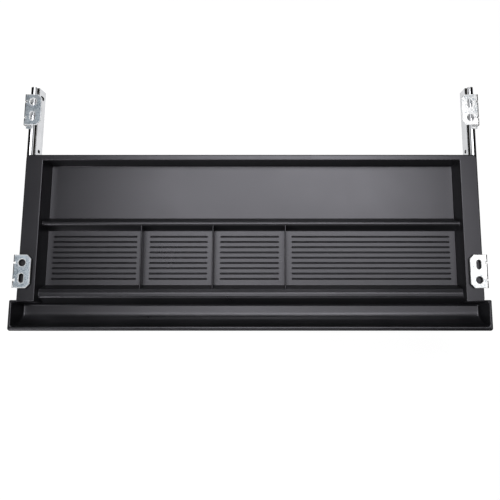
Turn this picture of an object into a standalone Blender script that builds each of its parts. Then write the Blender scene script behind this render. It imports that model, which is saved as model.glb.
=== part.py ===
"""Under desk drawer: a shallow moulded pencil tray that hangs below a desk top on two ball slides.

Frame, in metres: X runs across the drawer, +Y towards the back of the desk and +Z up.
The origin is the middle of the four-bracket pattern, on the underside of the desk top.
The drawer is closed at rest and opens along -Y.
All dimensions below are in millimetres; MM turns them into metres.
"""

import math

import bmesh
import bpy
from mathutils import Matrix

MM = 0.001
GAP = 0.3                     # clearance between touching pieces

# Heights
RIM_Z = -6.2                  # top of the tray's rim, below the desk top
SLIDE_HEIGHT = 35.0
SLIDE_TOP = RIM_Z - 4.3
SLIDE_Z = SLIDE_TOP - SLIDE_HEIGHT / 2

# Tray, across
RAIL_SPAN = 518.5             # over the two side rails
RAIL_WIDTH = 20.0
TROUGH_SPAN = 534.0           # over the pencil trough in front
WALL = 2.4
RAIL_THICKNESS = 2.0
SIDE_LEAN = 0.15              # how far a side wall leans in, per unit of depth
END_LEAN = 0.2                # the same for the ends of the trough
CORNER = 4.5                  # rear corners, seen from above
TROUGH_CORNER = 3.0

# Tray, from back to front
TRAY_BACK = 40.2
REAR_RIM = 6.6
REAR_LEAN = 2.7               # the rear wall leans in this far over its height
REAR_BAY = 62.1
RIDGE_FOOT = 13.9             # middle ridge, at the floor
RIDGE_CREST = 4.6             # middle ridge, at its top
RIBBED_BAY = 62.2
FRONT_RIDGE = 17.8            # from the ribbed floor to the trough's rear edge
SHOULDER = 3.9                # front ridge: from its foot to its shoulder
CREST = 8.6                   # and to the rear edge of its rounded crest
RIDGE_NOSE = 3.8              # the crest's front edge, behind the trough's rear edge
TROUGH_FOOT = 2.6             # the trough's rear wall leans in this far
TROUGH_MOUTH = 26.8
TROUGH_REAR_WALL = 1.7
TROUGH_LEAN = 1.9             # outside of the trough's rear wall, over its height
FRONT_LEAN = 1.7              # inside and outside of the trough's front wall
FRONT_RIM = 5.0
TROUGH_END_RIM = 3.2          # rim left at each end of the trough

# Tray, depths below the rim
FLOOR_DEPTH = 24.0
TROUGH_DEPTH = 24.5
MID_RIDGE_DROP = 7.0
FRONT_RIDGE_DROP = 8.0
SHOULDER_DROP = 9.3
REAR_LIP = 6.0
SKIRT_DEPTH = 38.0

# Gussets between the pan's side walls and the skirts
GUSSET_COUNT = 4
GUSSET_PITCH = 38.0
GUSSET_SHEET = 1.8
GUSSET_DEPTH = 23.0
GUSSET_FIRST = 20.0           # behind the trough's rear edge

# Ribbed floor
DIVIDER_X = (-125.0, -43.5, 39.0)
DIVIDER = 1.5
DIVIDER_DROP = 0.8            # below the ridges that it joins
GROOVE_COUNT = 9
GROOVE_PITCH = 6.0
GROOVE_WIDTH = 2.0
GROOVE_BOTTOM = 0.6           # width at the bottom
GROOVE_DEPTH = 1.4
GROOVE_MARGIN = 6.5           # plain floor left at each end of a groove

# Slides: u is the distance inboard from a slide's outer face, w the height from its centre line
SLIDE_LENGTH = 245.0
SLIDE_FACE_X = 261.3          # outer face of a slide
SLIDE_DEPTH = 9.0
SHEET = 1.2                   # slide steel
BALL_RADIUS = 1.9
BALL_U = 3.4
BALL_W = 14.1
BALL_PITCH = 13.0
BALLS_PER_ROW = 4
INNER_HALF = 11.8             # half height of the drawer member
CAGE_LENGTH = 56.0
CAGE_SHEET = 0.6
CAGE_U = 1.6
CAGE_Y = 0.0

# Brackets
BRACKET_LENGTH = 36.5
BRACKET_WIDTH = 19.5
BRACKET_SHEET = 1.5
BRACKET_Y = 92.3              # centre of a bracket, in front of and behind the origin
BRACKET_CHAMFER = 4.5
HOLE_RADIUS = 3.9
HOLE_FROM_END = 8.8
SLOT_WIDTH = 5.2
SLOT_LENGTH = 10.2
SLOT_FROM_END = 10.8
TONGUE_END = 8.0              # width of the two short end tongues
TONGUE_GAP = 1.4
LEG_BOTTOM = RIM_Z - 34.0
TAB_REACH = 4.6
RIVET_RADIUS = 2.0
RIVET_HEAD = 3.4
RIVET_HEAD_HEIGHT = 1.2
RIVET_W = 8.5                 # the two rivets of a bracket, above and below the slide's centre line

# Screws through the drawer member into the tray's skirt
SCREW_Y = (-98.5, -34.5, 29.5)
SCREW_RADIUS = 1.8
SCREW_HEAD = 3.6
SCREW_HEAD_HEIGHT = 1.9
SCREW_LENGTH = 8.0

# Stops
BUMPER_Y = 109.5              # front face of the closing bumper
BUMPER_LENGTH = 11.0
BUMPER_HALF = 6.0
LUG_HALF = 4.5

# Openings in the drawer member's web: y, z, width and height
WEB_SLOTS = (
    (TRAY_BACK + 7.5, SLIDE_Z + 0.8, 3.8, 8.0),
    (BUMPER_Y + 3.4, SLIDE_Z + 0.6, 4.4, 12.0),
)

ZINC = ("bright_zinc", (0.62, 0.64, 0.66), 0.32, 1.0)
BRACKET_ZINC = ("clear_zinc", (0.56, 0.61, 0.67), 0.38, 1.0)
BLACK_PLASTIC = ("black_plastic", (0.022, 0.022, 0.025), 0.45, 0.0)
BALL_STEEL = ("ball_steel", (0.75, 0.75, 0.76), 0.1, 1.0)
RUBBER = ("black_rubber", (0.015, 0.015, 0.015), 0.8, 0.0)

SIDES = {"left": -1, "right": 1}
ENDS = {"front": -1, "rear": 1}


# ---------------------------------------------------------------- general tools

def clear_scene():
    for item in list(bpy.data.objects):
        bpy.data.objects.remove(item, do_unlink=True)


def new_collection(name):
    group = bpy.data.collections.new(name)
    bpy.context.scene.collection.children.link(group)
    return group


def material(kind):
    name, colour, roughness, metallic = kind
    found = bpy.data.materials.get(name)
    if found:
        return found
    made = bpy.data.materials.new(name)
    made.use_nodes = True
    shader = made.node_tree.nodes["Principled BSDF"]
    shader.inputs["Base Color"].default_value = (*colour, 1.0)
    shader.inputs["Roughness"].default_value = roughness
    shader.inputs["Metallic"].default_value = metallic
    return made


def add_object(name, mesh, group, kind=None):
    made = bpy.data.objects.new(name, mesh)
    group.objects.link(made)
    if kind and not mesh.materials:
        mesh.materials.append(material(kind))
    return made


def rounded(corners, steps=4):
    """An outline from (a, b, radius) corners, each corner with a radius replaced by an arc."""
    outline = []
    count = len(corners)
    for index, (a, b, radius) in enumerate(corners):
        if radius <= 0:
            outline.append((a, b))
            continue
        before = corners[index - 1]
        after = corners[(index + 1) % count]
        ray_in = (before[0] - a, before[1] - b)
        ray_out = (after[0] - a, after[1] - b)
        length_in = math.hypot(*ray_in)
        length_out = math.hypot(*ray_out)
        unit_in = (ray_in[0] / length_in, ray_in[1] / length_in)
        unit_out = (ray_out[0] / length_out, ray_out[1] / length_out)
        half = math.acos(unit_in[0] * unit_out[0] + unit_in[1] * unit_out[1]) / 2
        bisector = (unit_in[0] + unit_out[0], unit_in[1] + unit_out[1])
        reach = radius / math.sin(half) / math.hypot(*bisector)
        centre = (a + bisector[0] * reach, b + bisector[1] * reach)
        tangent = radius / math.tan(half)
        first = (a + unit_in[0] * tangent, b + unit_in[1] * tangent)
        last = (a + unit_out[0] * tangent, b + unit_out[1] * tangent)
        start = math.atan2(first[1] - centre[1], first[0] - centre[0])
        turn = math.atan2(last[1] - centre[1], last[0] - centre[0]) - start
        turn = (turn + math.pi) % (2 * math.pi) - math.pi
        for step in range(steps + 1):
            angle = start + turn * step / steps
            outline.append((centre[0] + radius * math.cos(angle),
                            centre[1] + radius * math.sin(angle)))
    return outline


def circle(a, b, radius, steps=20):
    return [(a + radius * math.cos(2 * math.pi * i / steps),
             b + radius * math.sin(2 * math.pi * i / steps)) for i in range(steps)]


def slot(a, b, width, length, steps=8):
    """A round-ended slot that runs along b."""
    half = width / 2
    straight = (length - width) / 2
    outline = []
    for end, start in ((1, 0.0), (-1, math.pi)):
        for step in range(steps + 1):
            angle = start + math.pi * step / steps
            outline.append((a + half * math.cos(angle), b + end * straight + half * math.sin(angle)))
    return outline


PLANES = {
    "XY": Matrix.Identity(4),
    "XZ": Matrix(((1, 0, 0, 0), (0, 0, -1, 0), (0, 1, 0, 0), (0, 0, 0, 1))),
    "YZ": Matrix(((0, 0, 1, 0), (1, 0, 0, 0), (0, 1, 0, 0), (0, 0, 0, 1))),
}


def prism(name, outlines, plane, low, high, group, kind=None):
    """A flat outline, with any holes, extruded between two distances along the third axis."""
    curve = bpy.data.curves.new(name, "CURVE")
    curve.dimensions = "2D"
    curve.fill_mode = "BOTH"
    curve.extrude = abs(high - low) / 2 * MM
    for outline in outlines:
        spline = curve.splines.new("POLY")
        spline.points.add(len(outline) - 1)
        for point, (a, b) in zip(spline.points, outline):
            point.co = (a * MM, b * MM, 0, 1)
        spline.use_cyclic_u = True
    guide = bpy.data.objects.new(name + "_outline", curve)
    group.objects.link(guide)
    middle = (low + high) / 2 * MM
    if plane == "XZ":
        middle = -middle
    guide.matrix_world = PLANES[plane] @ Matrix.Translation((0, 0, middle))
    bpy.context.view_layer.update()
    evaluated = guide.evaluated_get(bpy.context.evaluated_depsgraph_get())
    mesh = bpy.data.meshes.new_from_object(evaluated)
    mesh.transform(guide.matrix_world)
    bpy.data.objects.remove(guide, do_unlink=True)
    bpy.data.curves.remove(curve)
    mesh.name = name
    work = bmesh.new()
    work.from_mesh(mesh)
    bmesh.ops.remove_doubles(work, verts=work.verts, dist=0.001 * MM)
    bmesh.ops.dissolve_limit(work, angle_limit=math.radians(0.1), verts=work.verts, edges=work.edges)
    bmesh.ops.recalc_face_normals(work, faces=work.faces)
    work.to_mesh(mesh)
    work.free()
    return add_object(name, mesh, group, kind)


def lean_ends(target, lean):
    """Draw both X ends of a prism in towards the middle, in proportion to the depth below the rim."""
    for vertex in target.data.vertices:
        depth = RIM_Z * MM - vertex.co.z
        vertex.co.x -= math.copysign(1, vertex.co.x) * lean * depth


def box(name, low, high, group, kind=None):
    mesh = bpy.data.meshes.new(name)
    work = bmesh.new()
    bmesh.ops.create_cube(work, size=1.0)
    for vertex in work.verts:
        for axis in range(3):
            centre = (low[axis] + high[axis]) / 2
            vertex.co[axis] = (centre + vertex.co[axis] * (high[axis] - low[axis])) * MM
    work.to_mesh(mesh)
    work.free()
    return add_object(name, mesh, group, kind)


def rods(name, centres, axis, radius, length, group, segments=20):
    """One cutter made of equal cylinders, each centred on a point and lying along an axis."""
    turn = {"X": Matrix.Rotation(math.pi / 2, 4, "Y"), "Z": Matrix.Identity(4)}[axis]
    mesh = bpy.data.meshes.new(name)
    work = bmesh.new()
    for centre in centres:
        place = Matrix.Translation([value * MM for value in centre])
        bmesh.ops.create_cone(work, cap_ends=True, segments=segments, radius1=radius * MM,
                              radius2=radius * MM, depth=length * MM, matrix=place @ turn)
    work.to_mesh(mesh)
    work.free()
    return add_object(name, mesh, group)


def boolean(target, tool, operation):
    modifier = target.modifiers.new(operation.lower() + "_" + tool.name, "BOOLEAN")
    modifier.operation = operation
    modifier.object = tool
    tool.hide_render = True
    tool.display_type = "WIRE"


def turned(name, profile, group, kind, steps=20):
    """A solid of revolution about Z, from (radius, height) points that run top to bottom."""
    mesh = bpy.data.meshes.new(name)
    points = [(radius * MM, 0, height * MM) for radius, height in profile]
    mesh.from_pydata(points, [(i, i + 1) for i in range(len(points) - 1)], [])
    made = add_object(name, mesh, group, kind)
    screw = made.modifiers.new("turn", "SCREW")
    screw.steps = steps
    screw.render_steps = steps
    screw.use_merge_vertices = True
    screw.merge_threshold = 0.000001
    screw.use_smooth_shade = True
    return made


def side_x(side, u):
    """X of a point that lies u inboard from the outer face of the slide on one side."""
    return side * (SLIDE_FACE_X - u)


# ---------------------------------------------------------------- tray

REAR_WALL_TOP = TRAY_BACK - REAR_RIM
REAR_WALL_FOOT = REAR_WALL_TOP - REAR_LEAN
MID_RIDGE_BACK = REAR_WALL_FOOT - REAR_BAY
MID_RIDGE_FRONT = MID_RIDGE_BACK - RIDGE_FOOT
FRONT_RIDGE_BACK = MID_RIDGE_FRONT - RIBBED_BAY
TROUGH_BACK = FRONT_RIDGE_BACK - FRONT_RIDGE
TROUGH_FRONT = TROUGH_BACK - TROUGH_MOUTH
TRAY_FRONT = TROUGH_FRONT - FRONT_RIM
TROUGH_BACK_FACE = TROUGH_BACK + TROUGH_REAR_WALL
RIDGE_FRONT = TROUGH_BACK + RIDGE_NOSE
TROUGH_FOOT_Y = TROUGH_BACK - TROUGH_FOOT
FLOOR_Z = RIM_Z - FLOOR_DEPTH
TROUGH_Z = RIM_Z - TROUGH_DEPTH
MID_RIDGE_Z = RIM_Z - MID_RIDGE_DROP
FRONT_RIDGE_Z = RIM_Z - FRONT_RIDGE_DROP
SHOULDER_Z = RIM_Z - SHOULDER_DROP
ABOVE = RIM_Z + 8             # cutters reach this high
FLOOR_UNDERSIDE = FLOOR_Z - WALL
WELL_HALF = RAIL_SPAN / 2 - RAIL_WIDTH
TROUGH_HALF = TROUGH_SPAN / 2
SKIRT_OUTER = SLIDE_FACE_X - SLIDE_DEPTH - GAP
SKIRT_INNER = SKIRT_OUTER - WALL


def ridge_edges():
    """Front and back of the middle ridge's crest."""
    middle = (MID_RIDGE_BACK + MID_RIDGE_FRONT) / 2
    return middle - RIDGE_CREST / 2, middle + RIDGE_CREST / 2


def pan_outline():
    """Underside of the pan: rear wall, floor and the hollows under the two ridges."""
    crest_front, crest_back = ridge_edges()
    mid_top = MID_RIDGE_Z - WALL
    return rounded((
        (REAR_WALL_TOP + WALL, RIM_Z - 1, 0),
        (REAR_WALL_FOOT + WALL, FLOOR_UNDERSIDE, 3),
        (MID_RIDGE_BACK - WALL, FLOOR_UNDERSIDE, 0),
        (crest_back - WALL + 0.4, mid_top, 0),
        (crest_front + WALL - 0.4, mid_top, 0),
        (MID_RIDGE_FRONT + WALL, FLOOR_UNDERSIDE, 0),
        (FRONT_RIDGE_BACK - WALL, FLOOR_UNDERSIDE, 0),
        (FRONT_RIDGE_BACK - SHOULDER - WALL, SHOULDER_Z - WALL, 0),
        (RIDGE_FRONT + 1.5, FRONT_RIDGE_Z - WALL, 0),
        (TROUGH_FOOT_Y + 1.4, TROUGH_Z - 0.5, 0),
        (TROUGH_FOOT_Y + 1.4, RIM_Z - 1, 0),
    ))


def well_outline():
    """Inside of the pan, from the rear wall over both ridges and down to the trough's floor."""
    crest_front, crest_back = ridge_edges()
    lean = REAR_LEAN / FLOOR_DEPTH
    low = TROUGH_Z + 1.2
    return rounded((
        (REAR_WALL_TOP + (ABOVE - RIM_Z) * lean, ABOVE, 0),
        (REAR_WALL_FOOT, FLOOR_Z, 1.5),
        (MID_RIDGE_BACK, FLOOR_Z, 1.2),
        (crest_back, MID_RIDGE_Z, 2.6),
        (crest_front, MID_RIDGE_Z, 2.6),
        (MID_RIDGE_FRONT, FLOOR_Z, 1.2),
        (FRONT_RIDGE_BACK, FLOOR_Z, 1.2),
        (FRONT_RIDGE_BACK - SHOULDER, SHOULDER_Z, 1.2),
        (FRONT_RIDGE_BACK - CREST, FRONT_RIDGE_Z, 5),
        (RIDGE_FRONT, FRONT_RIDGE_Z - 0.3, 3.7),
        (TROUGH_FOOT_Y - 0.5, low, 0),
        (TROUGH_FOOT_Y - 6, low, 0),
        (TROUGH_FOOT_Y - 6, ABOVE, 0),
    ))


def trough_outer_outline():
    bottom = TROUGH_Z - WALL
    return rounded((
        (TROUGH_BACK_FACE, RIM_Z, 0),
        (TROUGH_BACK_FACE - TROUGH_LEAN, bottom, 5),
        (TRAY_FRONT + FRONT_LEAN, bottom, 14.5),
        (TRAY_FRONT, RIM_Z, 3.2),
    ), steps=6)


def trough_inner_outline():
    """Steep behind, flat below, and one wide curve up to the front."""
    slope = FRONT_LEAN / TROUGH_DEPTH
    return rounded((
        (TROUGH_BACK + 0.85, ABOVE, 0),
        (TROUGH_FOOT_Y, TROUGH_Z, 3.5),
        (TROUGH_FRONT + FRONT_LEAN, TROUGH_Z, 14.5),
        (TROUGH_FRONT - (ABOVE - RIM_Z) * slope, ABOVE, 0),
    ), steps=8)


def bays():
    """X limits of the four bays of the ribbed floor."""
    edge = WELL_HALF - SIDE_LEAN * FLOOR_DEPTH
    limits = [-edge]
    for x in DIVIDER_X:
        limits += [x - DIVIDER / 2, x + DIVIDER / 2]
    limits.append(edge)
    return list(zip(limits[0::2], limits[1::2]))


def groove_lines():
    """Y of each groove, evenly spread over the ribbed floor."""
    middle = (MID_RIDGE_FRONT + FRONT_RIDGE_BACK) / 2
    return [middle + (i - (GROOVE_COUNT - 1) / 2) * GROOVE_PITCH for i in range(GROOVE_COUNT)]


def groove_cutter(name, low_x, high_x, group):
    """All the grooves of one bay, each one narrower towards its bottom."""
    mesh = bpy.data.meshes.new(name)
    work = bmesh.new()
    slope = (GROOVE_WIDTH - GROOVE_BOTTOM) / 2 / GROOVE_DEPTH
    for y in groove_lines():
        rings = []
        for depth in (-0.6, GROOVE_DEPTH):
            half = GROOVE_WIDTH / 2 - slope * depth
            corner = half * 0.9
            outline = rounded((
                (low_x, y - half, corner), (high_x, y - half, corner),
                (high_x, y + half, corner), (low_x, y + half, corner),
            ), steps=1)
            rings.append([work.verts.new((a * MM, b * MM, (FLOOR_Z - depth) * MM)) for a, b in outline])
            work.faces.new(rings[-1])
        upper, lower = rings
        for index in range(len(upper)):
            work.faces.new((upper[index - 1], upper[index], lower[index], lower[index - 1]))
    bmesh.ops.recalc_face_normals(work, faces=work.faces)
    work.to_mesh(mesh)
    work.free()
    return add_object(name, mesh, group)


def cut_grooves(tray, cutters):
    for bay, (low_x, high_x) in enumerate(bays()):
        cutter = groove_cutter(f"grooves_{bay}", low_x + GROOVE_MARGIN, high_x - GROOVE_MARGIN, cutters)
        boolean(tray, cutter, "DIFFERENCE")


def make_tray(parts, cutters):
    """The one-piece moulding: rim with side rails, pan, trough, skirts and gussets."""
    half = RAIL_SPAN / 2
    rim = rounded((
        (-half, TROUGH_BACK + 0.6, 0), (half, TROUGH_BACK + 0.6, 0),
        (half, TRAY_BACK, CORNER), (-half, TRAY_BACK, CORNER),
    ))
    tray = prism("drawer_tray", [rim], "XY", RIM_Z - RAIL_THICKNESS, RIM_Z, parts, BLACK_PLASTIC)

    pan = prism("pan", [pan_outline()], "YZ", 2 - WELL_HALF - WALL, WELL_HALF + WALL - 2, cutters)
    lean_ends(pan, SIDE_LEAN)
    boolean(tray, pan, "UNION")

    trough = prism("trough", [trough_outer_outline()], "YZ", -TROUGH_HALF, TROUGH_HALF, cutters)
    trough_plan = rounded((
        (-TROUGH_HALF, TRAY_FRONT, TROUGH_CORNER), (TROUGH_HALF, TRAY_FRONT, TROUGH_CORNER),
        (TROUGH_HALF, TROUGH_BACK_FACE, 1.5), (-TROUGH_HALF, TROUGH_BACK_FACE, 1.5),
    ))
    plan = prism("trough_plan", [trough_plan], "XY", SLIDE_Z - SLIDE_HEIGHT, ABOVE, cutters)
    boolean(trough, plan, "INTERSECT")
    boolean(tray, trough, "UNION")

    lip = box("rear_lip", (-WELL_HALF, TRAY_BACK - 1.8, RIM_Z - REAR_LIP),
              (WELL_HALF, TRAY_BACK - 0.2, RIM_Z - 0.8), cutters)
    boolean(tray, lip, "UNION")

    for label, side in SIDES.items():
        add_cheek(tray, label, side, cutters)
        add_skirt(tray, label, side, cutters)

    well = prism("well", [well_outline()], "YZ", -WELL_HALF, WELL_HALF, cutters)
    lean_ends(well, SIDE_LEAN)
    boolean(tray, well, "DIFFERENCE")
    hollow = prism("trough_hollow", [trough_inner_outline()], "YZ", TROUGH_END_RIM - TROUGH_HALF,
                   TROUGH_HALF - TROUGH_END_RIM, cutters)
    lean_ends(hollow, END_LEAN)
    boolean(tray, hollow, "DIFFERENCE")

    for number, x in enumerate(DIVIDER_X, start=1):
        outline = (
            (MID_RIDGE_FRONT + 2, FLOOR_Z - 1), (FRONT_RIDGE_BACK - 2, FLOOR_Z - 1),
            (FRONT_RIDGE_BACK - SHOULDER - 0.6, FRONT_RIDGE_Z - DIVIDER_DROP),
            (ridge_edges()[0] + 1, MID_RIDGE_Z - DIVIDER_DROP),
        )
        divider = prism(f"divider_{number}", [outline], "YZ", x - DIVIDER / 2, x + DIVIDER / 2, cutters)
        boolean(tray, divider, "UNION")
    cut_grooves(tray, cutters)
    return tray


def add_cheek(tray, label, side, cutters):
    """Side wall of the pan, which closes the hollows under the ridges."""
    top = RIM_Z - 0.9
    bottom = FLOOR_UNDERSIDE + 0.2
    outer = WELL_HALF + WALL
    lean = SIDE_LEAN * (top - bottom)
    outline = ((side * outer, top), (side * (outer - lean), bottom),
               (side * (outer - lean - 4.4), bottom), (side * (outer - 4), top))
    cheek = prism(f"cheek_{label}", [outline], "XZ", TROUGH_BACK + 0.8, REAR_WALL_FOOT + 1, cutters)
    boolean(tray, cheek, "UNION")
    for number in range(GUSSET_COUNT):
        y = TROUGH_BACK + GUSSET_FIRST + number * GUSSET_PITCH
        inner_x, outer_x = sorted((side * (WELL_HALF + 0.6), side * (SKIRT_INNER + 1)))
        gusset = box(f"gusset_{label}_{number}", (inner_x, y, RIM_Z - GUSSET_DEPTH),
                     (outer_x, y + GUSSET_SHEET, RIM_Z - 1.1), cutters)
        boolean(tray, gusset, "UNION")


def add_skirt(tray, label, side, cutters):
    """Wall below a rail that the slide is screwed to."""
    bottom = RIM_Z - SKIRT_DEPTH
    outline = rounded((
        (TROUGH_BACK + 0.9, RIM_Z - 1.2, 0), (TROUGH_BACK + 0.9, RIM_Z - 14, 0),
        (TROUGH_BACK + 16, bottom, 6), (TRAY_BACK - 3, bottom, 6), (TRAY_BACK - 3, RIM_Z - 1.2, 0),
    ))
    low, high = sorted((side * SKIRT_INNER, side * SKIRT_OUTER))
    skirt = prism(f"skirt_{label}", [outline], "YZ", low, high, cutters)
    holes = rods(f"skirt_holes_{label}", [(side * SKIRT_OUTER, y, SLIDE_Z) for y in SCREW_Y], "X",
                 SCREW_RADIUS + GAP, 8, cutters, 16)
    boolean(skirt, holes, "DIFFERENCE")
    boolean(tray, skirt, "UNION")


# ---------------------------------------------------------------- slides

def arc(centre, radius, start, end, steps):
    """Points along an arc, angles in degrees."""
    points = []
    for step in range(steps + 1):
        angle = math.radians(start + (end - start) * step / steps)
        points.append((centre[0] + radius * math.cos(angle), centre[1] + radius * math.sin(angle)))
    return points


def on_side(side, points):
    """Turn (u, w) points of a slide section into (x, z) points."""
    return [(side_x(side, u), SLIDE_Z + w) for u, w in points]


def outer_section():
    """Desk member: a flat web whose edges curl over the two rows of balls."""
    outer_radius = BALL_U
    inner_radius = BALL_U - SHEET
    top = arc((BALL_U, BALL_W), outer_radius, 180, -15, 13)
    back = arc((BALL_U, BALL_W), inner_radius, -15, 180, 13)
    upper = top + back
    lower = [(u, -w) for u, w in reversed(upper)]
    return upper + lower


def inner_section():
    """Drawer member: a web on the drawer's side with a race folded back above and below."""
    face = SLIDE_DEPTH
    race_edge = CAGE_U + CAGE_SHEET + 0.5
    outer = rounded((
        (race_edge, INNER_HALF, 0), (face, INNER_HALF, 1.6),
        (face, -INNER_HALF, 1.6), (race_edge, -INNER_HALF, 0),
        (race_edge, SHEET - INNER_HALF, 0), (face - SHEET, SHEET - INNER_HALF, 0.6),
        (face - SHEET, INNER_HALF - SHEET, 0.6), (race_edge, INNER_HALF - SHEET, 0),
    ))
    return outer


def cage_section():
    """Ball cage: a thin channel whose two flanges pass through the ball rows."""
    flange = BALL_W + CAGE_SHEET / 2
    reach = BALL_U + 1.8
    inside = CAGE_U + CAGE_SHEET
    return [(CAGE_U, flange), (reach, flange), (reach, flange - CAGE_SHEET),
            (inside, flange - CAGE_SHEET), (inside, CAGE_SHEET - flange), (reach, CAGE_SHEET - flange),
            (reach, -flange), (CAGE_U, -flange)]


def rivet_points(side):
    """Centres of a side's four bracket rivets, on the slide's outer face."""
    return [(end, number, (side_x(side, 0), BRACKET_Y * sign, SLIDE_Z + RIVET_W * level))
            for end, sign in ENDS.items() for number, level in ((1, 1), (2, -1))]


def make_outer_member(label, side, parts, cutters):
    half = SLIDE_LENGTH / 2
    member = prism(f"slide_outer_{label}", [on_side(side, outer_section())], "XZ", -half, half, parts, ZINC)
    holes = rods(f"rivet_holes_{label}", [point for _, _, point in rivet_points(side)], "X",
                 RIVET_RADIUS + GAP, 6, cutters, 16)
    boolean(member, holes, "DIFFERENCE")
    return member


def make_inner_member(label, side, parts, cutters):
    half = SLIDE_LENGTH / 2
    member = prism(f"slide_inner_{label}", [on_side(side, inner_section())], "XZ", -half, half, parts, ZINC)
    lug_far, lug_near = sorted((side_x(side, 3.2), side_x(side, SLIDE_DEPTH - 0.4)))
    lug = box(f"stop_lug_{label}", (lug_far, BUMPER_Y - GAP - SHEET, SLIDE_Z - LUG_HALF),
              (lug_near, BUMPER_Y - GAP, SLIDE_Z + LUG_HALF), cutters)
    boolean(member, lug, "UNION")
    web_x = side_x(side, SLIDE_DEPTH)
    screw_holes = rods(f"screw_holes_{label}", [(web_x, y, SLIDE_Z) for y in SCREW_Y], "X",
                       SCREW_RADIUS + 0.4, 4, cutters, 16)
    boolean(member, screw_holes, "DIFFERENCE")
    low, high = sorted((side_x(side, SLIDE_DEPTH - 2), side_x(side, SLIDE_DEPTH + 2)))
    for number, (y, z, width, length) in enumerate(WEB_SLOTS, start=1):
        opening = prism(f"web_slot_{label}_{number}", [slot(y, z, width, length)], "YZ", low, high, cutters)
        boolean(member, opening, "DIFFERENCE")
    return member


def ball_positions(side):
    """Centre of each ball of one slide, upper row then lower row."""
    start = CAGE_Y - BALL_PITCH * (BALLS_PER_ROW - 1) / 2
    return [(side_x(side, BALL_U), start + BALL_PITCH * step, SLIDE_Z + BALL_W * row)
            for row in (1, -1) for step in range(BALLS_PER_ROW)]


def make_cage(label, side, parts, cutters):
    low, high = CAGE_Y - CAGE_LENGTH / 2, CAGE_Y + CAGE_LENGTH / 2
    cage = prism(f"ball_cage_{label}", [on_side(side, cage_section())], "XZ", low, high, parts, ZINC)
    pockets = rods(f"ball_pockets_{label}", ball_positions(side), "Z", BALL_RADIUS + GAP, 3, cutters, 16)
    boolean(cage, pockets, "DIFFERENCE")
    return cage


def make_balls(label, side, parts):
    """Every ball of one slide; they share one sphere mesh."""
    mesh = bpy.data.meshes.get("ball")
    if not mesh:
        mesh = bpy.data.meshes.new("ball")
        work = bmesh.new()
        bmesh.ops.create_uvsphere(work, u_segments=12, v_segments=8, radius=BALL_RADIUS * MM)
        work.to_mesh(mesh)
        work.free()
        mesh.shade_smooth()
    balls = []
    for number, centre in enumerate(ball_positions(side), start=1):
        ball = add_object(f"ball_{label}_{number}", mesh, parts, BALL_STEEL)
        ball.location = [value * MM for value in centre]
        balls.append(ball)
    return balls


def make_bumper(label, side, parts):
    low_x, high_x = sorted((side_x(side, SHEET + GAP), side_x(side, SLIDE_DEPTH - SHEET - 0.5)))
    return box(f"closing_bumper_{label}", (low_x, BUMPER_Y, SLIDE_Z - BUMPER_HALF),
               (high_x, BUMPER_Y + BUMPER_LENGTH, SLIDE_Z + BUMPER_HALF), parts, RUBBER)


# ---------------------------------------------------------------- brackets

BRACKET_FACE_X = SLIDE_FACE_X + GAP + BRACKET_SHEET


def bracket_section():
    """A bracket's bent sheet, as a left bracket lies: top flange inboard, leg outboard."""
    outside = -BRACKET_FACE_X
    inboard = outside + BRACKET_WIDTH
    sheet = BRACKET_SHEET
    return rounded((
        (inboard, 0, 0), (outside, 0, 2.3), (outside, LEG_BOTTOM, 0),
        (outside + sheet, LEG_BOTTOM, 0), (outside + sheet, -sheet, 0.8), (inboard, -sheet, 0),
    ))


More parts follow.
